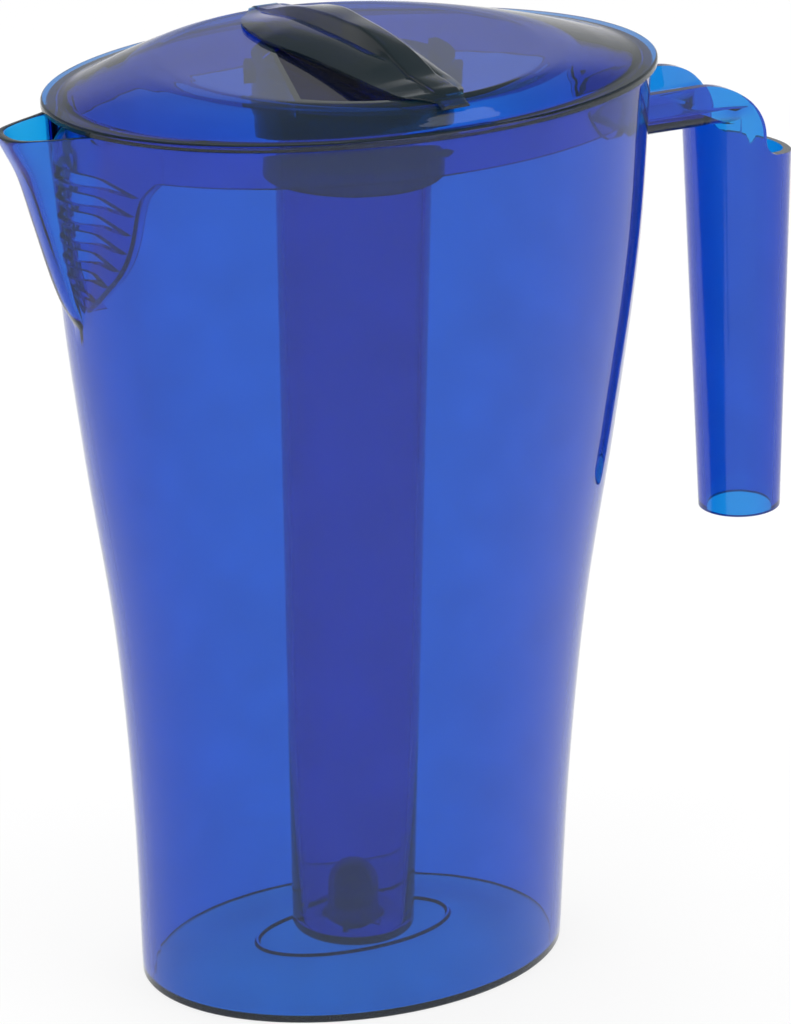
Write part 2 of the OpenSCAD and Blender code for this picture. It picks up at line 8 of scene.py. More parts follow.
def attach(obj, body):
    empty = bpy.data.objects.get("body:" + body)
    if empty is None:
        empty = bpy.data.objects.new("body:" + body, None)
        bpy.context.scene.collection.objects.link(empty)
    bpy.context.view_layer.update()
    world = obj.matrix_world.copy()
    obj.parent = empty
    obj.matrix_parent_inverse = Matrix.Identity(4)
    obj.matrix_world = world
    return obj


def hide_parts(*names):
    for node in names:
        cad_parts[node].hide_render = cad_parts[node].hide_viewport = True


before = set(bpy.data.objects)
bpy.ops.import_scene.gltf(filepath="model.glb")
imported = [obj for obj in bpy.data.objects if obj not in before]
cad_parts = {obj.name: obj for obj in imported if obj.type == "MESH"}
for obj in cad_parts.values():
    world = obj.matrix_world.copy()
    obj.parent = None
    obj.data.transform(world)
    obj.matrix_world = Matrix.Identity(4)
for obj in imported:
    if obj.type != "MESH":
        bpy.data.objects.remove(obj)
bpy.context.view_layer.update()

MM = 0.001

# ---------------------------------------------------------------- sizes, in mm
JUG_H, RIM_LEN, RIM_WID, BASE_LEN, BASE_WID = 250, 172, 118.6, 121.6, 91.6
WALL, SPOUT_REACH, SPOUT_WID, SPOUT_H, LIP_DROP = 2.6, 18.8, 32, 57.2, 0.8
GRIP_TOP_R, GRIP_END_R, GRIP_H, GRIP_X, GRIP_LEAN = 15.5, 11.4, 127, 119, 2
ARM_H, ARM_WID, ARM_DROP, HANDLE_WALL = 12, 25.6, 14.5, 2.3
LID_T, PLATEAU_R, PLATEAU_RISE, SKIRT_DROP, LID_GAP = 2, 48, 6, 12.5, 0.4
STRAINER_H, STRAINER_WID, SLOTS, SLOT_H, TAB_H = 40, 50, 7, 3.8, 16.5
GRIP_RISE, FIN_LEN, FIN_T = 9, 102, 7
# Faces of different pieces that touch are kept this far apart
PART_GAP = 0.03

# Curves through (place, share) pairs: the jug's flare over its height, and the spout's reach over its own
FLARE = [[0, 0], [0.2, 0.085], [0.4, 0.265], [0.6, 0.575], [0.8, 0.83], [1, 0.93]]
KEEL = [[0, 0], [0.15, 0.2], [0.5, 0.475], [0.75, 0.68], [0.9, 0.88], [1, 1]]
LIP_POWER, WIDEN_POWER, ROOT_MIN_WID, LIP_FADE = 1.8, 0.7, 5, 14
RIM_ROUND, FOOT_ROUND, FOOT_RING = 0.5, 0.9, 0.6
# The oval bead on the floor, and how far its outer side runs, in bead heights
BEAD_A, BEAD_B, BEAD_T, BEAD_RUN = 28.6, 14.6, 0.7, 1.5
PEG_R, PEG_TOP, PEG_FOOT_R = 5.1, 19.2, 1.2
WEB_T, WEB_REACH, WEB_H = 1.4, 3, 4.6
# The floor is pushed up in the middle: height of its edge and of its middle, corner, thickness, how soft its
# rise is, and the half width of its points on the spout's side
EDGE_Z, MID_Z, CORNER, FLOOR_SKIN, FLOOR_SOFT, FLOOR_ROOT = 1.6, 6.2, 0.5, 1.3, 0.6, 1.2

SPOUT_Z = JUG_H - SPOUT_H
# The lid's flange lies on the jug's rim and stands out over it
FLANGE_Z = JUG_H
RIM_Z = FLANGE_Z - LID_T
NET_Z = RIM_Z - 2.5
PLATEAU_Z = FLANGE_Z + PLATEAU_RISE
UNDER_Z = PLATEAU_Z - LID_T
ARM_Z = JUG_H - ARM_DROP
ARM_LOW_Z = ARM_Z - ARM_H
SKIRT_Z = JUG_H - SKIRT_DROP


def through(t, p):
    """Smooth curve through a table of (place, value) pairs."""
    i = 0
    while i < len(p) - 2 and t > p[i + 1][0]:
        i += 1

    def lean(k):
        lo, hi = max(k - 1, 0), min(k + 1, len(p) - 1)
        return (p[hi][1] - p[lo][1]) / (p[hi][0] - p[lo][0])

    h = p[i + 1][0] - p[i][0]
    s = (t - p[i][0]) / h
    return ((2 * s**3 - 3 * s**2 + 1) * p[i][1] + (s**3 - 2 * s**2 + s) * h * lean(i)
            + (3 * s**2 - 2 * s**3) * p[i + 1][1] + (s**3 - s**2) * h * lean(i + 1))


def mix(a, b, t):
    """From a at t = 0 to b at t = 1."""
    return a + (b - a) * t


def steps(a, b, n):
    """n even steps from a to b, both ends among them."""
    return [mix(a, b, i / n) for i in range(n + 1)]


def arc(u, v, r, degrees):
    """Points on an arc round (u, v)."""
    return [(u + r * math.cos(math.radians(f)), v + r * math.sin(math.radians(f))) for f in degrees]


def circle(r, n):
    """Points on a full circle round the origin."""
    return [(r * math.cos(2 * math.pi * i / n), r * math.sin(2 * math.pi * i / n)) for i in range(n)]


def half_len(z):
    """Half the length of the jug's oval at a height."""
    return mix(BASE_LEN, RIM_LEN, through(min(max(z / JUG_H, 0), 1), FLARE)) / 2


def half_wid(z):
    """Half the width of the jug's oval at a height."""
    return mix(BASE_WID, RIM_WID, through(min(max(z / JUG_H, 0), 1), FLARE)) / 2


def up_spout(z):
    """How far up the spout a height lies, from 0 to 1."""
    return min(max((z - SPOUT_Z) / SPOUT_H, 0), 1)


def reach(z):
    """How far the spout's middle stands out of the oval at a height."""
    return SPOUT_REACH * through(up_spout(z), KEEL)


def root_half(z):
    """Half the width of the spout where it leaves the oval."""
    return mix(ROOT_MIN_WID, SPOUT_WID, up_spout(z) ** WIDEN_POWER) / 2


def lip_share(t):
    """Share of the spout's reach at t: all of it in the middle at 0, none at its roots at -1 and 1."""
    return (1 + math.cos(math.pi * abs(t) ** LIP_POWER)) / 2


# Steps of a ring of the jug round the oval and along the spout
BACK, LIP = 150, 44


def jug_ring(z, inset=0.0, lift=None):
    """One closed ring of the jug, set in from its outside. lift puts it at another height."""
    a, b = half_len(z) - inset, half_wid(z) - inset
    w = max(root_half(z) - inset / 2, ROOT_MIN_WID / 5)
    edge = math.pi - math.asin(w / b)
    drop = LIP_DROP * max(0, 1 - (RIM_Z - z) / LIP_FADE)
    out = []
    for i in range(BACK + 1):
        f = mix(-edge, edge, i / BACK)
        out.append((a * math.cos(f), b * math.sin(f), z))
    for i in range(1, LIP):
        t = 1 - 2 * i / LIP
        g = lip_share(t)
        out.append((-a * math.sqrt(1 - (w * t / b) ** 2) - reach(z) * g, w * t, z - drop * g))
    if lift is not None:
        out = [(x, y, lift) for x, y, _ in out]
    return out


def oval_ring(a, b, z, n=BACK + LIP):
    """A closed oval ring that starts at the spout's side."""
    return [(a * math.cos(2 * math.pi * i / n - math.pi), b * math.sin(2 * math.pi * i / n - math.pi), z)
            for i in range(n)]


def round_ring(a, b, z):
    """A plain oval ring with its points at the same places round it as those of the jug's floor."""
    edge = math.pi - math.asin(FLOOR_ROOT / half_wid(0))
    turns = [mix(-edge, edge, i / BACK) for i in range(BACK + 1)]
    turns += [edge + (2 * math.pi - 2 * edge) * i / LIP for i in range(1, LIP)]
    return [(a * math.cos(f), b * math.sin(f), z) for f in turns]


# ---------------------------------------------------------------- mesh helpers

def mesh_object(name, points, faces):
    """An object whose mesh is given in mm."""
    me = bpy.data.meshes.new(name)
    me.from_pydata([tuple(c * MM for c in p) for p in points], [], faces)
    bm = bmesh.new()
    bm.from_mesh(me)
    bmesh.ops.recalc_face_normals(bm, faces=bm.faces)
    bm.to_mesh(me)
    bm.free()
    ob = bpy.data.objects.new(name, me)
    bpy.context.scene.collection.objects.link(ob)
    return ob


def skin(name, rings):
    """A solid skinned over rings that all have the same number of points."""
    n = len(rings[0])
    pts = [p for r in rings for p in r]
    faces = [(k * n + i, k * n + (i + 1) % n, (k + 1) * n + (i + 1) % n, (k + 1) * n + i)
             for k in range(len(rings) - 1) for i in range(n)]
    faces.append(tuple(range(n - 1, -1, -1)))
    faces.append(tuple((len(rings) - 1) * n + i for i in range(n)))
    return mesh_object(name, pts, faces)


def lathe(name, profile, n=128):
    """A closed profile of (radius, height) turned about Z; points on the axis become one point each."""
    pts, index = [], []
    for r, z in profile:
        if r < 1e-6:
            index.append([len(pts)] * n)
            pts.append((0, 0, z))
        else:
            index.append(list(range(len(pts), len(pts) + n)))
            pts += [(x, y, z) for x, y in circle(r, n)]
    faces = []
    for k in range(len(profile)):
        a, b = index[k], index[(k + 1) % len(profile)]
        if a[0] == a[1] and b[0] == b[1]:
            continue
        for i in range(n):
            j = (i + 1) % n
            loop = []
            for v in (a[i], a[j], b[j], b[i]):
                if v not in loop:
                    loop.append(v)
            if len(loop) > 2:
                faces.append(tuple(loop))
    return mesh_object(name, pts, faces)


def along_x(u, v, w):
    """Puts an outline in the plane across X."""
    return w, u, v


def along_y(u, v, w):
    """Puts an outline in the plane across Y."""
    return u, w, v


def box(half, low, high):
    """Outline of a rectangle that lies evenly round the middle."""
    return [(-half, low), (half, low), (half, high), (-half, high)]


def prism(name, outline, low, high, place):
    """An outline in a plane, pushed from low to high. place turns (u, v, w) into a point."""
    n = len(outline)
    pts = [place(u, v, low) for u, v in outline] + [place(u, v, high) for u, v in outline]
    faces = [tuple(range(n)), tuple(range(2 * n - 1, n - 1, -1))]
    faces += [(i, (i + 1) % n, n + (i + 1) % n, n + i) for i in range(n)]
    return mesh_object(name, pts, faces)


def combine(ob, tool, how):
    """Joins, cuts or intersects ob with tool, which is used up."""
    m = ob.modifiers.new("cut", "BOOLEAN")
    m.operation = how
    m.solver = "EXACT"
    m.object = tool
    graph = bpy.context.evaluated_depsgraph_get()
    new = bpy.data.meshes.new_from_object(ob.evaluated_get(graph))
    ob.modifiers.clear()
    old = ob.data
    ob.data = new
    bpy.data.meshes.remove(old)
    bpy.data.objects.remove(tool)
    return ob


def together(name, parts):
    """Several separate closed meshes in one object."""
    bm = bmesh.new()
    for p in parts:
        bm.from_mesh(p.data)
        bpy.data.objects.remove(p)
    me = bpy.data.meshes.new(name)
    bm.to_mesh(me)
    bm.free()
    ob = bpy.data.objects.new(name, me)
    bpy.context.scene.collection.objects.link(ob)
    return ob


def islands(bm):
    """The faces of a mesh in sets that hang together over their edges, the largest first."""
    left, found = set(bm.faces), []
    while left:
        grown, edge = set(), [left.pop()]
        while edge:
            f = edge.pop()
            grown.add(f)
            for e in f.edges:
                for g in e.link_faces if len(e.link_faces) == 2 else ():
                    if g in left:
                        left.discard(g)
                        edge.append(g)
        found.append(grown)
    return sorted(found, key=len, reverse=True)


# Points nearer than this are merged, in m; sets of fewer faces than this are slivers that a union leaves
MERGE, SLIVER = 0.00001, 20


def smooth(ob, degrees):
    """Rounded shading with sharp edges kept, on a cleaned mesh without slivers."""
    bm = bmesh.new()
    bm.from_mesh(ob.data)
    bmesh.ops.remove_doubles(bm, verts=bm.verts, dist=MERGE)
    bmesh.ops.dissolve_degenerate(bm, dist=MERGE, edges=bm.edges)
    bmesh.ops.triangulate(bm, faces=[f for f in bm.faces if len(f.verts) > 4])
    bmesh.ops.dissolve_degenerate(bm, dist=MERGE, edges=bm.edges)
    for stray in islands(bm)[1:]:
        if len(stray) < SLIVER:
            bmesh.ops.delete(bm, geom=list(stray), context="FACES")
    bmesh.ops.recalc_face_normals(bm, faces=bm.faces)
    for f in bm.faces:
        f.smooth = True
    bm.to_mesh(ob.data)
    bm.free()
    ob.data.set_sharp_from_angle(angle=math.radians(degrees))
    return ob


# ---------------------------------------------------------------- jug

def floor_ring(middle, edge, t, down):
    """Ring of the raised floor between its flat middle and its edge, down below its upper face."""
    rise = 1 - t * t * (3 - 2 * t)
    z = mix(EDGE_Z, MID_Z, mix(1 - t, rise, FLOOR_SOFT)) - down
    return [(mix(p[0], q[0], t), mix(p[1], q[1], t), z) for p, q in zip(middle, edge)]


def jug():
    """Peg, floor, wall, rim and underside as one skin, from the peg's top outwards, and the four webs."""
    rings = []
    for f in (88, 78, 66, 54, 42, 30, 18, 8, 0):
        a = math.radians(f)
        rings.append(round_ring(PEG_R * math.cos(a), PEG_R * math.cos(a), PEG_TOP + PEG_R * math.sin(a)))
    for z in steps(PEG_TOP - 2, MID_Z + PEG_FOOT_R, 5):
        rings.append(round_ring(PEG_R, PEG_R, z))
    for f in (70, 45, 20, 0):
        a = math.radians(f)
        r = PEG_R + PEG_FOOT_R * (1 - math.sin(a))
        rings.append(round_ring(r, r, MID_Z + PEG_FOOT_R * (1 - math.cos(a))))
    for t in (0.2, 0.45, 0.7, 0.9):
        a, b = (mix(PEG_R + PEG_FOOT_R, c - BEAD_T, t) for c in (BEAD_A, BEAD_B))
        rings.append(round_ring(a, b, MID_Z))
    for i in range(9):
        d, h = mix(-BEAD_T, BEAD_RUN * BEAD_T, i / 8), BEAD_T * math.sin(math.pi * i / 8)
        rings.append(round_ring(BEAD_A + d, BEAD_B + d, MID_Z + h))
    slope = steps(0, 1, 18)
    low = EDGE_Z + CORNER
    middle = round_ring(BEAD_A + BEAD_RUN * BEAD_T, BEAD_B + BEAD_RUN * BEAD_T, MID_Z)
    edge = jug_ring(low, WALL + CORNER, EDGE_Z)
    rings += [floor_ring(middle, edge, t, 0) for t in slope[1:-1]]
    for f in steps(0, 90, 8):
        a = math.radians(f)
        rings.append(jug_ring(low, WALL + CORNER * (1 - math.sin(a)), EDGE_Z + CORNER * (1 - math.cos(a))))
    rings += [jug_ring(z, WALL) for z in steps(low, SPOUT_Z, 34)[1:]]
    rings += [jug_ring(z, WALL) for z in steps(SPOUT_Z, RIM_Z - RIM_ROUND, 44)[1:]]
    for f in (30, 60, 90):
        a = math.radians(f)
        rings.append(jug_ring(RIM_Z - RIM_ROUND * (1 - math.sin(a)), WALL - RIM_ROUND * (1 - math.cos(a))))
    for f in (90, 60, 30, 0):
        a = math.radians(f)
        rings.append(jug_ring(RIM_Z - RIM_ROUND * (1 - math.sin(a)), RIM_ROUND * (1 - math.cos(a))))
    rings += [jug_ring(z) for z in steps(RIM_Z - RIM_ROUND, SPOUT_Z, 46)[1:]]
    rings += [jug_ring(z) for z in steps(SPOUT_Z, FOOT_ROUND, 40)[1:]]
    for f in (25, 50, 75, 90):
        a = math.radians(f)
        rings.append(jug_ring(FOOT_ROUND, FOOT_ROUND * (1 - math.cos(a)), FOOT_ROUND * (1 - math.sin(a))))
    rings.append(jug_ring(FOOT_ROUND, FOOT_ROUND + FOOT_RING, 0))
    under = jug_ring(low, WALL + CORNER, EDGE_Z)
    rings += [floor_ring(middle, under, t, FLOOR_SKIN) for t in reversed(slope)]
    rings += [round_ring(BEAD_A * t, BEAD_B * t, MID_Z - FLOOR_SKIN) for t in (0.7, 0.4, 0.1)]
    body = skin("jug_wall", rings)
    # Side of a web: reach out from the peg, height over the floor
    side = [(-1, -0.8), (WEB_REACH, -0.8), (WEB_REACH, WEB_H / 4),
            (1.7, WEB_H / 2), (0.5, WEB_H * 0.9), (-1, WEB_H)]
    side = [(PEG_R + u, MID_Z + v) for u, v in side]
    webs = []
    for i in range(4):
        f = math.radians(45 + 90 * i)
        c, s = math.cos(f), math.sin(f)
        webs.append(prism("web", side, -WEB_T / 2, WEB_T / 2,
                          lambda u, v, w, c=c, s=s: (u * c - w * s, u * s + w * c, v)))
    body = combine(body, together("webs", webs), "UNION")
    return smooth(body, 38)


# ---------------------------------------------------------------- handle

POST_SIDES = 128


def post_ring(r, w, top):
    """Ring round the grip's leaning axis, at w along it from the height top."""
    lean = math.radians(-GRIP_LEAN)
    c, s = math.cos(lean), math.sin(lean)
    return [(x * c + w * s + GRIP_X, y, -x * s + w * c + top) for x, y in circle(r, POST_SIDES)]


def post(inset, extra):
    """The grip's round post, set in from its outside and made longer at both ends."""
    rate = (GRIP_TOP_R - GRIP_END_R) / GRIP_H
    return skin("post", [post_ring(GRIP_TOP_R - inset + rate * w, w, ARM_Z) for w in (-GRIP_H - extra, extra)])


def arm(inset, top):
    """The arm, which widens to run softly into the round grip."""
    low, r = ARM_LOW_Z + inset, ARM_H / 3
    start, run, widen = GRIP_X - 18, 13.5, 2.05
    rings = []
    for x in [half_len(ARM_LOW_Z) / 2] + steps(start, start + run, 14) + [GRIP_X]:
        half = ARM_WID / 2 - inset + widen * min(max((x - start) / run, 0), 1) ** 2.2
        line = arc(-half + r, low + r, r, steps(180, 270, 10)) + arc(half - r, low + r, r, steps(270, 360, 10))
        rings.append([(x, u, v) for u, v in [(-half, top)] + line + [(half, top)]])
    return skin("arm", rings)


def above_handle():
    """All that is cut away over the arm: flat, then down over the hump into the slanting mouth."""
    hump_h, hump_len, mouth_r, mouth_fall = 17, 20, 5, 4
    hump_x = GRIP_X - 19.5
    x1, z1 = hump_x + hump_len, ARM_Z - hump_h
    far, top = GRIP_X + 2 * GRIP_TOP_R, ARM_Z + 2 * GRIP_TOP_R
    line = [(0, top), (0, ARM_Z)]
    line += [(hump_x + hump_len * u, z1 + hump_h * v) for u, v in arc(0, 0, 1, range(90, -1, -3))]
    line += arc(x1 + mouth_r, z1, mouth_r, range(180, 271, 9))
    line += [(far, z1 - mouth_r - mouth_fall), (far, top)]
    w = 2 * GRIP_TOP_R
    return prism("above", line, -w, w, along_y)


def sunk_floor():
    """The sunk end of the trough's floor, where it runs down into the grip."""
    sink = 4
    rings = [post_ring(GRIP_TOP_R - HANDLE_WALL + 2 * sink * t ** 1.4, 2 * HANDLE_WALL * t, ARM_LOW_Z)
             for t in steps(0, 1, 6)]
    trough = box(ARM_WID / 2 - HANDLE_WALL, ARM_LOW_Z - HANDLE_WALL, ARM_LOW_Z + 3 * HANDLE_WALL)
    return combine(skin("sink", rings), prism("trough", trough, GRIP_X - ARM_WID, GRIP_X, along_x), "INTERSECT")


def handle():
    """The hollow arm and grip, cut to the form of the jug's wall."""
    ob = combine(post(0, 0), arm(0, ARM_Z + 1), "UNION")
    ob = combine(ob, post(HANDLE_WALL, 1), "DIFFERENCE")
    ob = combine(ob, arm(HANDLE_WALL, ARM_Z + 3), "DIFFERENCE")
    ob = combine(ob, sunk_floor(), "DIFFERENCE")
    ob = combine(ob, above_handle(), "DIFFERENCE")
    back = skin("back", [jug_ring(z, -PART_GAP) for z in steps(ARM_LOW_Z - 8, ARM_Z + 9, 20)])
    ob = combine(ob, back, "DIFFERENCE")
    return smooth(ob, 30)


# ---------------------------------------------------------------- lid

FLANGE_A, FLANGE_B = 85.9, 59.2
# Curve of the dome's rise from the flat strip along the flange to the raised middle
RISE = [[0, 0], [0.06, 0.05], [0.2, 0.26], [0.4, 0.55], [0.7, 0.885], [0.88, 0.985], [0.96, 1], [1, 1]]
CREST_ROUND, FLAT, FLANGE_ROUND = 2, 3.9, 0.7
# The dome's thickness at its foot, and the places on the rise where it starts and how soon it thins
FOOT_T, FOOT_START, FOOT_RUN = 3, 0.12, 0.5


def skirt_a(z):
    """Half the length of the lid's skirt at a height."""
    return half_len(z) - WALL - LID_GAP


def skirt_b(z):
    """Half the width of the lid's skirt at a height."""
    return half_wid(z) - WALL - LID_GAP


def lid_ring(t, down):
    """Ring of the dome between the flat strip at 0 and the raised middle at 1, down below its top."""
    return oval_ring(mix(FLANGE_A - FLAT, PLATEAU_R, t), mix(FLANGE_B - FLAT, PLATEAU_R, t),
                     FLANGE_Z + PLATEAU_RISE * through(t, RISE) - down)


def dome():
    """The raised middle, dome, flange and skirt as one skin, top first and then the underside."""
    rings = [oval_ring(r, r, PLATEAU_Z) for r in (2, 12, 24, 36, 43, 46)]
    rings += [lid_ring(t, 0) for t in steps(1, 0, 44)]
    for f in steps(0, 90, 5):
        a = math.radians(f)
        d = FLANGE_ROUND * (1 - math.sin(a))
        rings.append(oval_ring(FLANGE_A - d, FLANGE_B - d, FLANGE_Z - FLANGE_ROUND * (1 - math.cos(a))))
    low = RIM_Z + PART_GAP
    rings += [oval_ring(FLANGE_A, FLANGE_B, low + 0.2), oval_ring(FLANGE_A - 0.2, FLANGE_B - 0.2, low)]
    rings += [oval_ring(skirt_a(z), skirt_b(z), z) for z in steps(low, SKIRT_Z, 4)]
    rings += [oval_ring(skirt_a(z) - LID_T, skirt_b(z) - LID_T, z) for z in steps(SKIRT_Z, NET_Z, 4)]
    rings += [lid_ring(t, mix(FOOT_T, LID_T - PART_GAP, min(1, (t - FOOT_START) / FOOT_RUN)))
              for t in steps(FOOT_START, 1, 38)]
    rings += [oval_ring(r, r, UNDER_Z + PART_GAP) for r in (46, 43, 36, 24, 12, 2)]
    return skin("lid", rings)


# Shares of the half width of the strainer and the tab on their way down, and of the bulge
SHIELD = [[0, 1.04], [0.12, 0.9], [0.47, 0.76], [0.66, 0.61], [0.85, 0.33], [1, 0.06]]
TAB = [[0, 1.08], [0.3, 0.94], [0.6, 0.76], [0.82, 0.54], [0.94, 0.3], [1, 0.04]]
SWELL = [[0, 0.1], [0.08, 0.85], [0.2, 1], [0.7, 1], [0.85, 0.7], [1, 0.1]]
SHIELD_BULGE, SHIELD_EDGE, SHIELD_T = 5.3, 3, 2.2
FIRST_SLOT, LAST_SLOT, SLOT_WID = 0.118, 0.898, 0.92
RIB_START, RIB_DEPTH, RIB_T, WINDOW, SLOT_POWER, SLOT_ARCH = 0.35, 4.5, 1.6, 0.98, 1.8, 1.1
# Where the thick edge of a shield starts, and over how much of the half width it swells
EDGE_START, EDGE_RUN = 0.95, 0.03


def shield_half(z, wid, h, form=SHIELD):
    """Half the width of the strainer or the tab at a height."""
    return wid / 2 * through(min(max((SKIRT_Z - z) / h, 0), 1), form)


def shield_point(u, z, wid, h, bulge, back, form=SHIELD):
    """A place on the strainer or the tab, with u from -1 to 1 across it, set back from its outside."""
    y = u * shield_half(z, wid, h, form)
    v = min(max((NET_Z - z) / (NET_Z - SKIRT_Z + h), 0), 1)
    t = min(abs(y) / (root_half(z) - WALL / 2), 1)
    swell = bulge * through(v, SWELL) * lip_share(t)
    return (skirt_a(z) * math.sqrt(1 - (y / skirt_b(z)) ** 2) + swell - back, y, z)


def shield(name, wid, h, bulge, top, rows=48, form=SHIELD):
    """The strainer or the tab: a curved shield with a thick edge that hangs from the lid's skirt."""
    rim = [0.935, 0.945, 0.955, 0.965, 0.985, 1]
    cols = [-u for u in reversed(rim)] + steps(-0.92, 0.92, 40) + rim
    nc = len(cols)
    zs = steps(top, SKIRT_Z - h, rows)

    def thick(u):
        s = min(max((abs(u) - EDGE_START) / EDGE_RUN, 0), 1)
        return mix(SHIELD_T, SHIELD_EDGE, s * s * (3 - 2 * s))

    pts = [shield_point(u, z, wid, h, bulge, 0, form) for z in zs for u in cols]
    pts += [shield_point(u, z, wid, h, bulge, thick(u), form) for z in zs for u in cols]
    m, nr = len(zs) * nc, len(zs)
    faces = []
    for j in range(nr - 1):
        for i in range(nc - 1):
            a = j * nc + i
            faces += [(a, a + 1, a + nc + 1, a + nc), (m + a, m + a + nc, m + a + nc + 1, m + a + 1)]
        for i in (0, nc - 1):
            a = j * nc + i
            faces.append((a, a + nc, m + a + nc, m + a))
    for i in range(nc - 1):
        for j in (0, nr - 1):
            a = j * nc + i
            faces.append((a, a + 1, m + a + 1, m + a))
    return mesh_object(name, pts, faces)


def slot_cuts():
    """What is cut out for the strainer's arched slots."""
    cuts = []
    for k in range(SLOTS):
        z = SKIRT_Z - STRAINER_H * mix(FIRST_SLOT, LAST_SLOT, k / (SLOTS - 1))
        half = SLOT_WID * shield_half(z, STRAINER_WID, STRAINER_H)
        low = [(half * t, z + SLOT_ARCH * (1 - abs(t) ** 1.5)) for t in steps(-1, 1, 36)]
        high = [(half * t, z + (SLOT_ARCH + SLOT_H) * (1 - abs(t) ** SLOT_POWER))
                for t in steps(1, -1, 36)[1:-1]]
        mid, deep = half_len(z) - WALL, 2 * SHIELD_BULGE + SHIELD_EDGE
        cuts.append(prism("slot", low + high, mid - deep, mid + deep, along_x))
    return together("slots", cuts)


def strainer():
    """The shield with its slots and the rib behind its lower part."""
    net = shield("strainer", STRAINER_WID, STRAINER_H, SHIELD_BULGE, NET_Z)
    net = combine(net, slot_cuts(), "DIFFERENCE")
    ts = steps(0, 1, 14)
    zs = [SKIRT_Z - STRAINER_H * mix(RIB_START, 1, t) for t in ts]
    xs = [shield_point(0, z, STRAINER_WID, STRAINER_H, SHIELD_BULGE, SHIELD_T)[0] for z in zs]
    side = [(x + SHIELD_T / 2, z) for x, z in zip(xs, zs)]
    side += [(x - RIB_DEPTH * t, z) for x, z, t in reversed(list(zip(xs, zs, ts)))][:-1]
    return combine(net, prism("rib", side, -RIB_T / 2, RIB_T / 2, along_y), "UNION")


# The finger scoop's corners in plan, and its depth
SCOOP, SCOOP_DEPTH = [(-16, 15), (-37, -43), (-11, -54)], 4.2


def scoop(grow, top):
    """The finger scoop's room, grown on all sides, up to the height top."""
    c = (sum(p[0] for p in SCOOP) / 3, sum(p[1] for p in SCOOP) / 3)
    q = []
    for p in SCOOP:
        d = math.hypot(p[0] - c[0], p[1] - c[1])
        q.append((p[0] + 2 * grow * (p[0] - c[0]) / d, p[1] + 2 * grow * (p[1] - c[1]) / d))
    low = [grow, SCOOP_DEPTH + grow, SCOOP_DEPTH + grow]
    pts = [(x, y, PLATEAU_Z - d) for (x, y), d in zip(q, low)] + [(x, y, top) for x, y in q]
    return mesh_object("scoop", pts, [(0, 1, 2), (5, 4, 3), (0, 3, 4, 1), (1, 4, 5, 2), (2, 5, 3, 0)])


def in_scoop(x, y, tolerance):
    """Whether a place in plan lies in the scoop or on its walls."""
    for i in range(3):
        p, q = SCOOP[i], SCOOP[(i + 1) % 3]
        u, v = q[0] - p[0], q[1] - p[1]
        if (u * (y - p[1]) - v * (x - p[0])) / math.hypot(u, v) < -tolerance:
            return False
    return math.hypot(x, y) < PLATEAU_R


def disc(r):
    """A round block that the scoop is kept inside."""
    low, high = UNDER_Z - 2 * SCOOP_DEPTH, UNDER_Z + 2 * SCOOP_DEPTH
    return skin("disc", [oval_ring(r, r, low), oval_ring(r, r, high)])


def lid():
    """The dome with the window behind the strainer, the scoop, the strainer and the tab."""
    ob = dome()
    window = box(WINDOW * root_half(SKIRT_Z), SKIRT_Z - 1, NET_Z - LID_T / 2)
    ob = combine(ob, prism("window", window, -half_len(JUG_H), -PLATEAU_R, along_x), "DIFFERENCE")
    pocket = combine(scoop(LID_T, UNDER_Z + LID_T / 2), disc(PLATEAU_R + LID_T / 2), "INTERSECT")
    ob = combine(ob, pocket, "UNION")
    hollow = combine(scoop(0, PLATEAU_Z + 1), disc(PLATEAU_R - CREST_ROUND / 2), "INTERSECT")
    ob = combine(ob, hollow, "DIFFERENCE")
    net = strainer()
    net.data.transform(Matrix.Rotation(math.pi, 4, "Z"))
    ob = combine(ob, net, "UNION")
    ob = combine(ob, shield("tab", STRAINER_WID / 2, TAB_H, 0, SKIRT_Z + LID_T, 30, TAB), "UNION")
    return smooth(ob, 30)


# Shares along the grip: reach of its two wings, height of the crest and of the crease under it
WING = [[-1, 0.2], [-0.93, 0.62], [-0.8, 0.74], [-0.5, 0.79], [-0.1, 0.84], [0.3, 0.98], [0.42, 0.96],
        [0.62, 0.88], [0.78, 0.68], [0.88, 0.42], [1, 0.2]]
REAR_WING = [[-1, 0.2], [-0.92, 0.34], [-0.8, 0.43], [-0.63, 0.5], [-0.24, 0.71], [0, 0.82], [0.3, 0.9],
             [0.6, 0.88], [0.8, 0.66], [0.9, 0.42], [1, 0.2]]
CREST = [[-1, 0.04], [-0.88, 0.1], [-0.76, 0.29], [-0.65, 0.49], [-0.53, 0.67], [-0.41, 0.79], [-0.2, 0.92],
         [0, 0.97], [0.2, 1], [0.41, 0.8], [0.58, 0.5], [0.8, 0.17], [1, 0.01]]
CREASE = [[-1, 0], [-0.8, 0.12], [-0.5, 0.4], [-0.2, 0.5], [0.3, 0.52], [0.55, 0.46], [0.8, 0.2], [1, 0]]
WING_REACH, WING_LIFT, WING_T, WING_CURL, WING_POWER, FLANK_WID = 17.5, 0.4, 0.8, 6, 1.8, 1.1
FIN_ROUND, TIP_SHARE, TIP_POWER, DROOP, DROOP_GAP = 0.9, 0.3, 8, 0.4, 0.25
FAR_TIP, FAR_THINS, FAR_POWER, NEAR_END, FAR_END = 0.12, 0.5, 1.5, -53.5, 50.4


def seat_z(y):
    """Height on which the grip lies: its ends hang over the edge of the raised middle."""
    past = abs(y) - PLATEAU_R
    if past < 0:
        return PLATEAU_Z + DROOP_GAP * min(max(past + CREST_ROUND, 0) / CREST_ROUND, 1)
    dome_z = FLANGE_Z + PLATEAU_RISE * through(1 - past / (FLANGE_B - FLAT - PLATEAU_R), RISE)
    return max(dome_z, PLATEAU_Z - DROOP * past) + DROOP_GAP


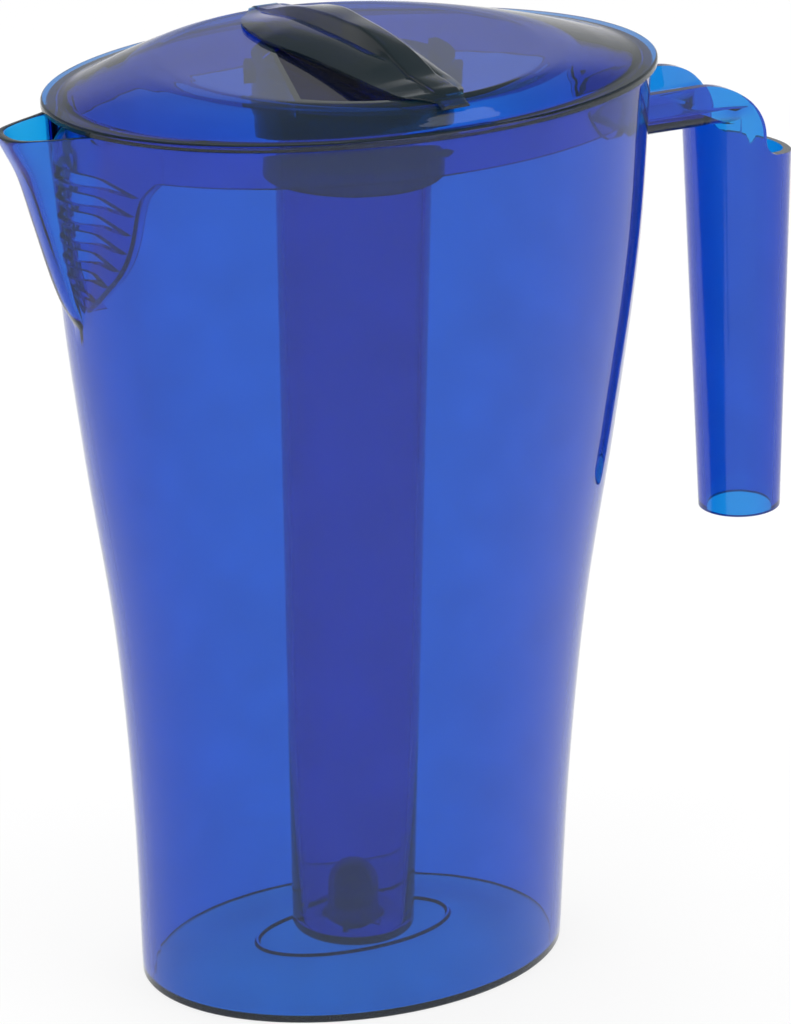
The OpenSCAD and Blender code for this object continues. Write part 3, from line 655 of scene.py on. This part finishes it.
def thinness(s):
    """The grip's thickness at s along it, as a share: its ends are thin, and the far one thins early."""
    if s < FAR_THINS:
        return 1 - (1 - TIP_SHARE) * abs(s) ** TIP_POWER
    return 1 - (1 - FAR_TIP) * ((s - FAR_THINS) / (1 - FAR_THINS)) ** FAR_POWER


def grip_ring(y):
    """Section of the lifting grip across its length, at y."""
    s = min(max(y / (FIN_LEN / 2), -1), 1)
    base = seat_z(y) + PART_GAP
    thin = thinness(s)
    rnd = FIN_ROUND * thin
    low = base + WING_LIFT * thin
    edge = low + WING_T * thin
    near = max(base + GRIP_RISE * through(s, CREST), edge + 2 * rnd) - rnd
    far = max(base + GRIP_RISE * through(-s, CREST), edge + 2 * rnd) - rnd
    half = FIN_T / 2
    foot = half + FLANK_WID * thin
    near_foot = min(max(base + GRIP_RISE * through(s, CREASE), edge + rnd / 2), near)
    far_foot = min(max(base + GRIP_RISE * through(-s, CREASE), edge + rnd / 2), far)
    left = max(WING_REACH * through(s, WING), foot + rnd)
    right = max(WING_REACH * through(s, REAR_WING), foot + rnd)
    curl = WING_CURL * min(left, right) / WING_REACH
    wing = [(t, 1 - (1 - t) ** WING_POWER) for t in steps(0, 1, 18)]
    out = [(right, low)]
    out += [(mix(right, foot, t), mix(edge, near_foot, h)) for t, h in wing]
    out += [(mix(foot, half, t), mix(near_foot, near, t)) for t in (0.33, 0.67)]
    out += arc(half - rnd, near, rnd, (0, 30, 60, 90)) + arc(rnd - half, far, rnd, (90, 120, 150, 180))
    out += [(-mix(foot, half, t), mix(far_foot, far, t)) for t in (0.67, 0.33)]
    out += [(-mix(left, foot, t), mix(edge, far_foot, h)) for t, h in reversed(wing)]
    out += [(-left, low), (curl - left, base), (right - curl, base)]
    return [(x, y, z) for x, z in out]


def lid_grip():
    """The twisted crest with its two wings, skinned over sections along Y."""
    flat = PLATEAU_R - CREST_ROUND
    places = steps(NEAR_END, -flat, 15)[:-1] + steps(-flat, flat, 84)[:-1] + steps(flat, FAR_END, 9)
    return smooth(skin("grip", [grip_ring(y) for y in places]), 40)


def tube():
    """The ice tube: its dimple sits over the peg on the raised floor."""
    low, top, wall, r0, r1, rnd = MID_Z + 1.3, UNDER_Z - 7.1 - PART_GAP, 2, 16.7, 20.9, 2
    hole, skin_t, flare = PEG_R + 0.5, 1.5, 3.4
    line = arc(0, PEG_TOP, hole, steps(90, 0, 12))
    line += [(hole + flare * u, low + flare * v) for u, v in ((0, 1.3), (0.15, 0.85), (0.5, 0.35), (1, 0))]
    line += arc(r0 - rnd, low + rnd, rnd, steps(-90, 0, 8))
    line += [(mix(r0, r1, t), mix(low + rnd, top, t)) for t in (0.25, 0.5, 0.75, 1)]
    line += [(r1 - wall, top)]
    line += [(mix(r1, r0, t) - wall, mix(top, low + wall + rnd, t)) for t in (0.25, 0.5, 0.75, 1)]
    line += [(r0 - wall - rnd / 4, low + wall + rnd / 4), (r0 - wall - rnd, low + wall)]
    hole += skin_t
    line += [(hole + flare * u, low + wall + flare * v) for u, v in ((0.7, 0), (0.15, 0.25), (0, 1))]
    line += arc(0, PEG_TOP, hole, steps(0, 90, 12))
    line[0], line[-1] = (0, line[0][1]), (0, line[-1][1])
    return smooth(lathe("tube", line, 160), 40)


# ---------------------------------------------------------------- materials

def link(tree, a, b):
    """Joins an output to an input."""
    tree.links.new(a, b)


# Share of light let through, refraction, fineness and depth of the surface waves, unevenness of the tint
CLEAR, REFRACTION, WAVES, WAVE_DEPTH, UNEVEN = 0.98, 1.45, 55, 0.02, 0.04
# Fineness of the changes in gloss and their least and most, the range that noise takes up, spare absorption
GLOSS_WAVES, GLOSS_LOW, GLOSS_HIGH, NOISE_LOW, NOISE_HIGH, SPARE = 900, 0.6, 1.7, 0.3, 0.75, 1.05


def clear_plastic(name, tint, soak, rough=0.006, shine=0.21):
    """Moulded clear plastic: slightly uneven in colour, gloss and surface, and darker the thicker it is.
    soak is how much it takes from each colour, per metre."""
    m = bpy.data.materials.new(name)
    m.use_nodes = True
    t = m.node_tree
    bsdf = t.nodes["Principled BSDF"]
    bsdf.inputs["Transmission Weight"].default_value = CLEAR
    bsdf.inputs["IOR"].default_value = REFRACTION
    bsdf.inputs["Specular IOR Level"].default_value = shine
    co = t.nodes.new("ShaderNodeTexCoord")
    flow = t.nodes.new("ShaderNodeTexNoise")
    flow.inputs["Scale"].default_value = WAVES
    flow.inputs["Detail"].default_value = 2
    link(t, co.outputs["Object"], flow.inputs["Vector"])
    fine = t.nodes.new("ShaderNodeTexNoise")
    fine.inputs["Scale"].default_value = GLOSS_WAVES
    fine.inputs["Detail"].default_value = 3
    link(t, co.outputs["Object"], fine.inputs["Vector"])
    ramp = t.nodes.new("ShaderNodeValToRGB")
    ramp.color_ramp.elements[0].position = NOISE_LOW
    ramp.color_ramp.elements[1].position = NOISE_HIGH
    ramp.color_ramp.elements[0].color = tuple(c * (1 - UNEVEN) for c in tint) + (1,)
    ramp.color_ramp.elements[1].color = tuple(min(1, c * (1 + UNEVEN)) for c in tint) + (1,)
    link(t, flow.outputs["Fac"], ramp.inputs["Fac"])
    link(t, ramp.outputs["Color"], bsdf.inputs["Base Color"])
    gloss = t.nodes.new("ShaderNodeMapRange")
    gloss.inputs["From Min"].default_value = NOISE_LOW
    gloss.inputs["From Max"].default_value = NOISE_HIGH
    gloss.inputs["To Min"].default_value = rough * GLOSS_LOW
    gloss.inputs["To Max"].default_value = rough * GLOSS_HIGH
    link(t, fine.outputs["Fac"], gloss.inputs["Value"])
    link(t, gloss.outputs["Result"], bsdf.inputs["Roughness"])
    bump = t.nodes.new("ShaderNodeBump")
    bump.inputs["Strength"].default_value = WAVE_DEPTH
    bump.inputs["Distance"].default_value = 0.0015
    link(t, flow.outputs["Fac"], bump.inputs["Height"])
    link(t, bump.outputs["Normal"], bsdf.inputs["Normal"])
    inside = t.nodes.new("ShaderNodeVolumeAbsorption")
    thick = max(soak) * SPARE
    inside.inputs["Density"].default_value = thick
    inside.inputs["Color"].default_value = tuple(1 - c / thick for c in soak) + (1,)
    link(t, inside.outputs["Volume"], t.nodes["Material Output"].inputs["Volume"])
    return m


def rubber(name, tint):
    """Matt rubber with a fine grain."""
    m = bpy.data.materials.new(name)
    m.use_nodes = True
    t = m.node_tree
    bsdf = t.nodes["Principled BSDF"]
    co = t.nodes.new("ShaderNodeTexCoord")
    grain = t.nodes.new("ShaderNodeTexNoise")
    grain.inputs["Scale"].default_value = 1200
    link(t, co.outputs["Object"], grain.inputs["Vector"])
    ramp = t.nodes.new("ShaderNodeValToRGB")
    ramp.color_ramp.elements[0].color = tuple(c * 0.85 for c in tint) + (1,)
    ramp.color_ramp.elements[1].color = tuple(tint) + (1,)
    link(t, grain.outputs["Fac"], ramp.inputs["Fac"])
    link(t, ramp.outputs["Color"], bsdf.inputs["Base Color"])
    bump = t.nodes.new("ShaderNodeBump")
    bump.inputs["Strength"].default_value = 0.2
    bump.inputs["Distance"].default_value = 0.0002
    link(t, grain.outputs["Fac"], bump.inputs["Height"])
    link(t, bump.outputs["Normal"], bsdf.inputs["Normal"])
    bsdf.inputs["Roughness"].default_value = 0.6
    return m


# The tint, and what the plastic takes from red, green and blue; the handle, the lid and the grip take more
BLUE, SOAK = (0.43, 0.79, 0.96), (1850, 385, 92)
DEEP_SOAK = (1950, 475, 112)
body_mat = clear_plastic("clear_blue_jug", BLUE, SOAK)
handle_mat = clear_plastic("clear_blue_handle", BLUE, DEEP_SOAK)
lid_mat = clear_plastic("clear_blue_lid", BLUE, DEEP_SOAK, shine=0.25)
grip_mat = clear_plastic("clear_blue_grip", BLUE, DEEP_SOAK)
tube_mat = clear_plastic("clear_blue_tube", BLUE, SOAK)
smoke_mat = clear_plastic("smoky_blue", (0.5, 0.55, 0.7), (1500, 1100, 500), rough=0.02)
# Darker tint with little gloss, for the finger scoop's pocket: painted shade
scoop_painted_shade_mat = clear_plastic("clear_blue_scoop_painted_shade", (0.14, 0.2, 0.5), DEEP_SOAK, shine=0.04)
# Greyer, darker tint for the dimple over the peg: painted shade
dimple_painted_shade_mat = clear_plastic("clear_blue_dimple_painted_shade", (0.38, 0.46, 0.56), SOAK, shine=0.2)
seal_mat = rubber("seal_rubber", (0.27, 0.3, 0.34))


def dress(ob, mat, body, node):
    """Gives a piece its material and its body, and hides the CAD node that it stands for."""
    ob.data.materials.clear()
    ob.data.materials.append(mat)
    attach(ob, body)
    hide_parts(node)
    return ob


dress(jug(), body_mat, "jug", "jug_body")
dress(handle(), handle_mat, "jug", "handle")
cover = dress(lid(), lid_mat, "lid", "lid_shell")
# The whole pocket of the finger scoop gets a darker, less glossy tint: painted shade, standing in for the dark
# that light running on in the plastic leaves there
cover.data.materials.append(scoop_painted_shade_mat)
for face in cover.data.polygons:
    c = face.center / MM
    lid_under = abs(c.z - UNDER_Z - PART_GAP) < 0.05
    deep = UNDER_Z - SCOOP_DEPTH - LID_T < c.z < PLATEAU_Z - 0.02
    if deep and not lid_under and in_scoop(c.x, c.y, LID_T * 1.5):
        face.material_index = 1
dress(lid_grip(), grip_mat, "lid", "lid_grip")
core = dress(tube(), tube_mat, "core", "ice_tube")
# The dimple over the peg gets a greyer, darker tint too: painted shade
core.data.materials.append(dimple_painted_shade_mat)
for face in core.data.polygons:
    c = face.center / MM
    if math.hypot(c.x, c.y) < PEG_R + 2.4 and c.z > MID_Z + 2:
        face.material_index = 1
for node, mat in (("core_socket", smoke_mat), ("core_collar", smoke_mat), ("core_seal", seal_mat)):
    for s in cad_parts[node].material_slots:
        s.material = mat

# ---------------------------------------------------------------- camera, as fitted to the photograph
# Focal length and the place of the optical axis in the photograph, in pixels
F_PX, AXIS_X, AXIS_Y = 5500, 353.1, 522.2
# Distance from a point at AIM_Z on the jug's axis, in mm, and direction
DIST, AIM_Z, AZ, EL = 1477, 125, math.radians(29), math.radians(20.55)
FRAME_W, FRAME_H, SENSOR = 791, 1024, 36
back = Vector((-math.sin(AZ) * math.cos(EL), -math.cos(AZ) * math.cos(EL), math.sin(EL)))
right = Vector((math.cos(AZ), -math.sin(AZ), 0))
up = back.cross(right)
cam_data = bpy.data.cameras.new("camera")
cam = bpy.data.objects.new("camera", cam_data)
bpy.context.scene.collection.objects.link(cam)
place = Vector((0, 0, AIM_Z)) * MM + back * DIST * MM
cam.matrix_world = Matrix(((right.x, up.x, back.x, place.x), (right.y, up.y, back.y, place.y),
                           (right.z, up.z, back.z, place.z), (0, 0, 0, 1)))
cam_data.sensor_width = SENSOR
cam_data.lens = F_PX * SENSOR / FRAME_H
cam_data.shift_x = (FRAME_W / 2 - AXIS_X) / FRAME_H
cam_data.shift_y = (AXIS_Y - FRAME_H / 2) / FRAME_H
cam_data.clip_end = 50
bpy.context.scene.camera = cam

# ---------------------------------------------------------------- floor, world, lamps

def ray_of_view(tree):
    """1 on rays that show the surroundings: from the camera, mirrored or through clear plastic."""
    path = tree.nodes.new("ShaderNodeLightPath")
    one = tree.nodes.new("ShaderNodeMath")
    one.operation = "MAXIMUM"
    link(tree, path.outputs["Is Camera Ray"], one.inputs[0])
    link(tree, path.outputs["Is Glossy Ray"], one.inputs[1])
    two = tree.nodes.new("ShaderNodeMath")
    two.operation = "MAXIMUM"
    link(tree, one.outputs[0], two.inputs[0])
    link(tree, path.outputs["Is Transmission Ray"], two.inputs[1])
    return two.outputs[0]


# The floor's size, underside and top, in mm, and the share of plain white in what the camera sees of it
FLOOR_HALF, FLOOR_LOW, FLOOR_TOP, GLOW_SHARE = 4000, -20, -0.05, 0.82
square = box(FLOOR_HALF, -FLOOR_HALF, FLOOR_HALF)
floor = skin("floor", [[(x, y, z) for x, y in square] for z in (FLOOR_LOW, FLOOR_TOP)])
fm = bpy.data.materials.new("white_floor")
fm.use_nodes = True
ft = fm.node_tree
fb = ft.nodes["Principled BSDF"]
fb.inputs["Base Color"].default_value = (0.93, 0.93, 0.93, 1)
fb.inputs["Roughness"].default_value = 0.9
fb.inputs["Specular IOR Level"].default_value = 0
glow = ft.nodes.new("ShaderNodeEmission")
glow.inputs["Strength"].default_value = 1
mixer = ft.nodes.new("ShaderNodeMixShader")
share = ft.nodes.new("ShaderNodeMath")
share.operation = "MULTIPLY"
share.inputs[1].default_value = GLOW_SHARE
link(ft, ray_of_view(ft), share.inputs[0])
link(ft, share.outputs[0], mixer.inputs[0])
link(ft, fb.outputs[0], mixer.inputs[1])
link(ft, glow.outputs[0], mixer.inputs[2])
link(ft, mixer.outputs[0], ft.nodes["Material Output"].inputs["Surface"])
floor.data.materials.append(fm)

world = bpy.data.worlds.new("studio")
bpy.context.scene.world = world
world.use_nodes = True
wt = world.node_tree
bg = wt.nodes["Background"]
bg.inputs["Color"].default_value = (1, 1, 1, 1)
# The studio is bright along the floor and the backdrop, and dark overhead
turn = wt.nodes.new("ShaderNodeTexCoord")
split = wt.nodes.new("ShaderNodeSeparateXYZ")
link(wt, turn.outputs["Generated"], split.inputs[0])
sky = wt.nodes.new("ShaderNodeValToRGB")
sky.color_ramp.elements[0].position = 0.0
sky.color_ramp.elements[0].color = (0.8, 0.8, 0.8, 1)
sky.color_ramp.elements[1].position = 1.0
sky.color_ramp.elements[1].color = (0.18, 0.18, 0.18, 1)
for at, value in ((0.12, 0.6), (0.34, 0.48), (0.5, 0.19)):
    sky.color_ramp.elements.new(at).color = (value, value, value, 1)
link(wt, split.outputs["Z"], sky.inputs["Fac"])
seen = wt.nodes.new("ShaderNodeLightPath")
level = wt.nodes.new("ShaderNodeMix")
level.data_type = "RGBA"
level.inputs["B"].default_value = (1, 1, 1, 1)
link(wt, sky.outputs["Color"], level.inputs["A"])
link(wt, seen.outputs["Is Camera Ray"], level.inputs["Factor"])
link(wt, level.outputs["Result"], bg.inputs["Color"])
bg.inputs["Strength"].default_value = 1


def lamp(name, at, size, power, aim=(0, 0, 0.12)):
    """A soft lamp, with its place and size in metres."""
    data = bpy.data.lights.new(name, "AREA")
    data.shape = "RECTANGLE"
    data.size, data.size_y = size
    data.energy = power
    ob = bpy.data.objects.new(name, data)
    bpy.context.scene.collection.objects.link(ob)
    ob.location = at
    ob.rotation_euler = (Vector(aim) - Vector(at)).to_track_quat("-Z", "Y").to_euler()
    return ob


lamp("key", (0.9, -1.5, 1.3), (1.6, 1.6), 12)
for soft in (lamp("fill", (-1.6, -0.6, 0.9), (1.4, 1.6), 6), lamp("top", (0.1, 0.3, 1.9), (2.2, 2.2), 44)):
    soft.visible_glossy = False
    soft.visible_transmission = False

scene = bpy.context.scene
scene.view_settings.view_transform = "Standard"
# Light passes many walls of clear plastic
scene.cycles.max_bounces = 28
scene.cycles.transmission_bounces = 26
scene.cycles.transparent_max_bounces = 16
scene.cycles.glossy_bounces = 8
scene.cycles.diffuse_bounces = 3
